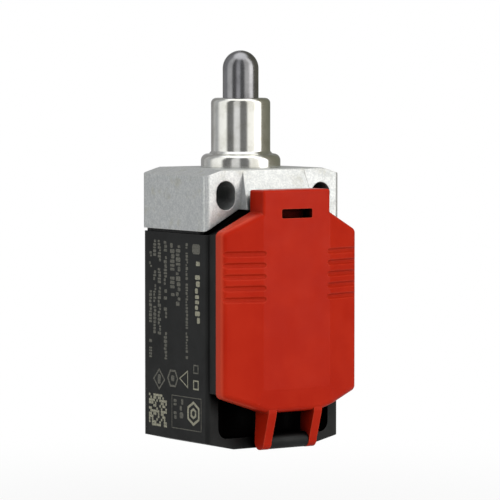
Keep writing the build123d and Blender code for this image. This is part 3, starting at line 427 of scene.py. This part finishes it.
# each spring's CAD node: the coil's name, its body, its working turns and its wire's thickness
SPRINGS = {
    "return_spring": ("return_coil", "housing", 5, 0.8),
    "carrier_spring": ("carrier_coil", "housing", 4, 0.45),
    "no_spring": ("no_contact_coil", "contact_slide", 3.5, 0.35),
    "nc_spring": ("nc_contact_coil", "contact_slide", 2.5, 0.35),
}

coils = {node: coil_spring(node, *values) for node, values in SPRINGS.items()}
for joint in frame["record"]["behaviour"]["joints"]:
    for spring in joint.get("deforming_nodes", []):
        node = spring["node"]
        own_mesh(coils[node])


# ------------------------------------------------------------------ cable thread
THREAD_PITCH = 1.5
THREAD_HEIGHT = 0.3
THREAD_START = 0.9
THREAD_TURNS = 6
THREAD_STEPS = 72
THREAD_FADE_STEPS = 20
THREAD_FOOT_HALF = 0.6
THREAD_CREST_HALF = 0.12
THREAD_SUNK = 0.02


def thread_ridge():
    """The cable entry's thread, shown as a ridge that stands in from the hole's wall."""
    wall = MOUNTS["cable_entry"]["dims"]["r_mm"]
    last = THREAD_TURNS * THREAD_STEPS
    mesh = bmesh.new()
    rows = []
    for step in range(last + 1):
        angle = 2 * math.pi * step / THREAD_STEPS
        z = THREAD_START + THREAD_PITCH * step / THREAD_STEPS
        fade = min(1.0, step / THREAD_FADE_STEPS, (last - step) / THREAD_FADE_STEPS)
        foot = wall + THREAD_SUNK
        crest = wall - THREAD_HEIGHT * fade
        profile = (
            (foot, z - THREAD_FOOT_HALF),
            (crest, z - THREAD_CREST_HALF),
            (crest, z + THREAD_CREST_HALF),
            (foot, z + THREAD_FOOT_HALF),
        )
        rows.append([
            mesh.verts.new((r * MM * math.cos(angle), r * MM * math.sin(angle), level * MM))
            for r, level in profile
        ])
    for first, second in zip(rows, rows[1:]):
        for low, high in ((0, 1), (1, 2), (2, 3), (3, 0)):
            mesh.faces.new((first[low], first[high], second[high], second[low]))
    mesh.faces.new(rows[0][::-1])
    mesh.faces.new(rows[-1])
    bmesh.ops.recalc_face_normals(mesh, faces=mesh.faces)
    add_piece("cable_thread", mesh, "housing", "housing_black", smooth=False)


thread_ridge()


# ------------------------------------------------------------------ laser marks on the left side
MARK_LIFT = 0.015
SIDE_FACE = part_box("body_housing")[0].x


def patch(mesh, outline):
    """A thin patch from a convex outline of (y, z) in millimetres. It stands as far out of the side
    face as it is sunk into it."""
    foot = [mesh.verts.new((SIDE_FACE + MARK_LIFT * MM, y * MM, z * MM)) for y, z in outline]
    face = [mesh.verts.new((SIDE_FACE - MARK_LIFT * MM, y * MM, z * MM)) for y, z in outline]
    mesh.faces.new(face)
    mesh.faces.new(foot[::-1])
    for index in range(len(outline)):
        after = (index + 1) % len(outline)
        mesh.faces.new((foot[index], foot[after], face[after], face[index]))


def bar(mesh, y, z, width, height):
    """A bar with clipped corners, centred at y, z."""
    clip = 0.2 * min(width, height)
    half_y, half_z = width / 2, height / 2
    one_side = [
        (half_y - clip, half_z),
        (half_y, half_z - clip),
        (half_y, clip - half_z),
        (half_y - clip, -half_z),
    ]
    other_side = [(-a, -b) for a, b in one_side]
    patch(mesh, [(y + a, z + b) for a, b in one_side + other_side])


def polygon_line(mesh, y, z, radius, line, sides, turn=0.0):
    """A regular polygon's outline drawn with this line width."""
    corners = []
    for index in range(sides):
        angle = 2 * math.pi * index / sides + turn
        corners.append((math.cos(angle), math.sin(angle)))
    inner = radius - line
    for (y0, z0), (y1, z1) in zip(corners, corners[1:] + corners[:1]):
        patch(mesh, [
            (y + y0 * radius, z + z0 * radius),
            (y + y1 * radius, z + z1 * radius),
            (y + y1 * inner, z + z1 * inner),
            (y + y0 * inner, z + z0 * inner),
        ])


def greeked_line(mesh, y, height, top, bottom, glyph, dice):
    """Plain blocks in place of printed words, down the side from top to bottom."""
    z = top
    while z - glyph > bottom:
        length = glyph * dice.uniform(0.5, 1.0)
        tall = height * dice.choice((0.6, 0.8, 1.0, 1.0))
        if dice.random() > 0.12:
            bar(mesh, y + dice.choice((-0.5, 0.5)) * (height - tall), z - length / 2, tall, length)
        z -= length + 0.22 * glyph


# each line of greeked words: y, height, top, bottom, block length
FAINT_LINES = [
    (8.4, 1.0, 36.8, 32.4, 0.7), (8.4, 1.0, 29.3, 22.3, 0.7), (8.4, 1.0, 19.9, 15.6, 0.7),
    (6.9, 1.0, 39.1, 34.9, 0.65), (6.9, 1.0, 33.7, 20.6, 0.65),
    (5.3, 1.1, 39.1, 34.9, 0.65), (5.3, 1.1, 33.7, 20.6, 0.65),
    (3.2, 1.1, 39.0, 27.2, 0.7), (3.2, 1.1, 26.3, 22.8, 0.7), (3.2, 1.1, 21.6, 15.7, 0.7),
    (0.8, 1.5, 38.7, 27.6, 0.95), (-1.2, 1.5, 38.4, 25.2, 0.95),
    (-4.15, 0.8, 38.9, 16.8, 0.6),
    (-0.1, 1.0, 9.0, 4.2, 0.8), (-2.3, 1.2, 9.2, 4.0, 1.2),
]
BRIGHT_LINES = [(-7.75, 1.6, 35.6, 23.2, 1.3)]


def add_side_marks():
    """Generic stand-ins for the printing on the body's left side."""
    dice = random.Random(7)
    faint, bright = bmesh.new(), bmesh.new()
    for line in FAINT_LINES:
        greeked_line(faint, *line, dice)
    for line in BRIGHT_LINES:
        greeked_line(bright, *line, dice)
    # a plain badge, a row of plain symbols and an outlined panel
    bar(faint, -7.3, 37.9, 2.6, 1.9)
    polygon_line(faint, 5.4, 12.4, 2.1, 0.45, 4)
    bar(faint, 5.4, 12.4, 1.0, 1.8)
    polygon_line(faint, 0.7, 12.9, 1.9, 0.45, 6)
    bar(faint, 0.7, 12.9, 1.1, 1.1)
    polygon_line(bright, -3.5, 13.1, 2.0, 0.4, 3)
    polygon_line(faint, -7.2, 15.2, 1.2, 0.35, 4, math.pi / 4)
    polygon_line(bright, -7.2, 12.2, 1.3, 0.4, 4, math.pi / 4)
    for z in (3.5, 9.7):
        bar(faint, -3.98, z, 10.1, 0.16)
    for y in (1.0, -8.96):
        bar(faint, y, 6.6, 0.16, 6.2)
    polygon_line(bright, -6.35, 6.75, 2.35, 0.55, 6, math.pi / 6)
    polygon_line(bright, -6.35, 6.75, 1.1, 0.5, 6, math.pi / 6)
    # a block of random square cells
    cells, pitch, gap = 12, 0.52, 0.02
    for column in range(cells):
        for row in range(cells):
            if dice.random() < 0.55:
                bar(bright, 8.75 - pitch * column, 9.25 - pitch * row, pitch - gap, pitch - gap)
    for mesh in (faint, bright):
        bmesh.ops.recalc_face_normals(mesh, faces=mesh.faces)
    add_piece("faint_marks", faint, "housing", "housing_black", finish=FAINT_MARK, smooth=False)
    add_piece("bright_marks", bright, "housing", "housing_black", finish=BRIGHT_MARK, smooth=False)


add_side_marks()


# ------------------------------------------------------------------ stage, light, camera
CAMERA_AZIMUTH = math.radians(-34.86)
CAMERA_ELEVATION = math.radians(3.3)
CAMERA_DISTANCE = 637.9 * MM
CAMERA_LENS = 238.5
AIM_RIGHT = 1.8 * MM
AIM_HEIGHT = 36.92 * MM
WHITE = (1, 1, 1, 1)
CEILING = (1.7, 1.7, 1.7, 1)
# sine of the elevation where the ceiling starts and where it is full
CEILING_FROM = 0.8
CEILING_FULL = 0.93
FLOOR_RADIUS = 0.28
FLOOR_HEIGHT = -17 * MM
# how white the floor is in the middle, and the distances between which it fades to full white
FLOOR_WHITENESS = 0.86
FLOOR_FADE_FROM = 0.02
FLOOR_FADE_TO = 0.6 * FLOOR_RADIUS
# colour of the studio's walls by azimuth in degrees from the camera's
STUDIO_BANDS = [
    (-180, 0.45, 0.45, 0.45),
    (-165, 0.32, 0.32, 0.32),
    (-135, 0.32, 0.32, 0.32),
    (-128, 0.5, 0.5, 0.5),
    (-104, 0.42, 0.43, 0.44),
    (-85, 1.05, 1.05, 1.03),
    (-60, 1.15, 1.15, 1.12),
    (-50, 0.16, 0.16, 0.16),
    (-30, 0.2, 0.2, 0.2),
    (-23, 0.85, 0.85, 0.86),
    (-6, 0.85, 0.85, 0.86),
    (1, 0.18, 0.18, 0.18),
    (22, 0.2, 0.2, 0.2),
    (30, 1.15, 1.14, 1.1),
    (52, 1.2, 1.18, 1.13),
    (64, 2.4, 2.36, 2.28),
    (82, 2.4, 2.36, 2.28),
    (90, 0.26, 0.25, 0.2),
    (150, 0.18, 0.18, 0.14),
    (165, 0.22, 0.22, 0.2),
]


def direction(azimuth, elevation):
    """From the object towards this azimuth and elevation, in radians."""
    return Vector((
        math.sin(azimuth) * math.cos(elevation),
        -math.cos(azimuth) * math.cos(elevation),
        math.sin(elevation),
    ))


def add_camera():
    """A long lens, nearly level with the object and to the left of its front."""
    camera = bpy.data.objects.new("camera", bpy.data.cameras.new("camera"))
    bpy.context.scene.collection.objects.link(camera)
    camera.data.lens = CAMERA_LENS
    camera.data.sensor_width = 36
    camera.data.clip_start = 0.01
    camera.data.clip_end = 20
    back = direction(CAMERA_AZIMUTH, CAMERA_ELEVATION)
    right = Vector((math.cos(CAMERA_AZIMUTH), math.sin(CAMERA_AZIMUTH), 0))
    camera.location = right * AIM_RIGHT + Vector((0, 0, AIM_HEIGHT)) + back * CAMERA_DISTANCE
    camera.rotation_mode = "QUATERNION"
    camera.rotation_quaternion = (-back).to_track_quat("-Z", "Y")
    bpy.context.scene.camera = camera


def add_softbox(name, azimuth, elevation, distance, size, watts):
    """A rectangular light that faces the object and isn't mirrored in it. Its angles are in
    degrees, with the azimuth from the camera's."""
    lamp = bpy.data.objects.new(name, bpy.data.lights.new(name, "AREA"))
    bpy.context.scene.collection.objects.link(lamp)
    lamp.data.shape = "RECTANGLE"
    lamp.data.size, lamp.data.size_y = size
    lamp.data.energy = watts
    away = direction(CAMERA_AZIMUTH + math.radians(azimuth), math.radians(elevation))
    middle = (cad_box[0] + cad_box[1]) / 2
    lamp.location = middle + away * distance
    lamp.rotation_mode = "QUATERNION"
    lamp.rotation_quaternion = (-away).to_track_quat("-Z", "Y")
    lamp.visible_glossy = False


def add_floor():
    """A pale round floor, low enough for the open cover. It fades to the backdrop's white, is
    dimmer in reflections and can't be seen from below."""
    mesh = bmesh.new()
    bmesh.ops.create_circle(mesh, cap_ends=True, segments=96, radius=FLOOR_RADIUS)
    bmesh.ops.translate(mesh, verts=mesh.verts, vec=(0, 0, FLOOR_HEIGHT))
    data = bpy.data.meshes.new("floor")
    mesh.to_mesh(data)
    mesh.free()
    floor = bpy.data.objects.new("floor", data)
    bpy.context.scene.collection.objects.link(floor)
    s = Shader("pale_floor")
    speckle = s.between(s.noise(0.8, 3.0), 0.3, 0.7)
    tone = s.mix(speckle, (0.5, 0.5, 0.5, 1), (0.56, 0.56, 0.56, 1))
    s.finish(tone, 0.8, s.bump(speckle, 0.02))
    reach = s.node("ShaderNodeVectorMath", operation="LENGTH")
    s.put(reach, 0, s.place)
    fade = s.between(
        reach.outputs["Value"], FLOOR_FADE_FROM, FLOOR_FADE_TO, FLOOR_WHITENESS, 1.0)
    white = s.node("ShaderNodeEmission")
    s.put(white, "Color", WHITE)
    seen = s.node("ShaderNodeLightPath").outputs["Is Camera Ray"]
    whiteness = s.maths("MULTIPLY", seen, fade)
    above = s.blend_shaders(whiteness, s.surface.outputs["BSDF"], white.outputs["Emission"])
    below = s.node("ShaderNodeBsdfTransparent").outputs["BSDF"]
    backfacing = s.node("ShaderNodeNewGeometry").outputs["Backfacing"]
    s.link(s.blend_shaders(backfacing, above, below), s.output.inputs["Surface"])
    data.materials.append(s.material)


def fill_bands(ramp):
    """Sets a colour ramp that covers a full turn to the studio's bands."""
    ramp.interpolation = "EASE"
    while len(ramp.elements) > 1:
        ramp.elements.remove(ramp.elements[-1])
    ramp.elements[0].position = 0.0
    ramp.elements[0].color = (*STUDIO_BANDS[0][1:], 1)
    for degrees, *tint in STUDIO_BANDS[1:]:
        made = ramp.elements.new(degrees / 360 + 0.5)
        made.color = (*tint, 1)


def add_world():
    """A studio of pale walls with dark gaps and a bright ceiling, for polished metal to mirror."""
    world = bpy.data.worlds.new("studio")
    bpy.context.scene.world = world
    t = NodeTree(world)
    turned = t.node("ShaderNodeMapping", vector_type="VECTOR")
    t.put(turned, "Vector", t.node("ShaderNodeTexCoord").outputs["Generated"])
    t.put(turned, "Rotation", (0, 0, -CAMERA_AZIMUTH))
    split = t.node("ShaderNodeSeparateXYZ")
    t.put(split, "Vector", turned.outputs["Vector"])
    azimuth = t.maths("ARCTAN2", split.outputs["X"], t.maths("MULTIPLY", split.outputs["Y"], -1))
    share_of_turn = t.maths("ADD", t.maths("DIVIDE", azimuth, 2 * math.pi), 0.5)
    walls = t.node("ShaderNodeValToRGB")
    t.put(walls, "Fac", share_of_turn)
    fill_bands(walls.color_ramp)
    lift = t.node("ShaderNodeMapRange")
    t.put(lift, "Value", split.outputs["Z"])
    t.put(lift, "From Min", CEILING_FROM)
    t.put(lift, "From Max", CEILING_FULL)
    studio = t.node("ShaderNodeBackground")
    t.put(studio, "Color", t.mix(lift.outputs["Result"], walls.outputs["Color"], CEILING))
    backdrop = t.node("ShaderNodeBackground")
    t.put(backdrop, "Color", WHITE)
    seen = t.node("ShaderNodeLightPath").outputs["Is Camera Ray"]
    output = t.node("ShaderNodeOutputWorld")
    sky = t.blend_shaders(seen, studio.outputs["Background"], backdrop.outputs["Background"])
    t.link(sky, output.inputs["Surface"])


add_world()
add_floor()
add_camera()
add_softbox("key", azimuth=22, elevation=14, distance=0.7, size=(0.3, 0.3), watts=2.6)
add_softbox("top", azimuth=-50, elevation=60, distance=0.6, size=(0.5, 0.5), watts=0.5)

bpy.context.scene.view_settings.view_transform = "Standard"
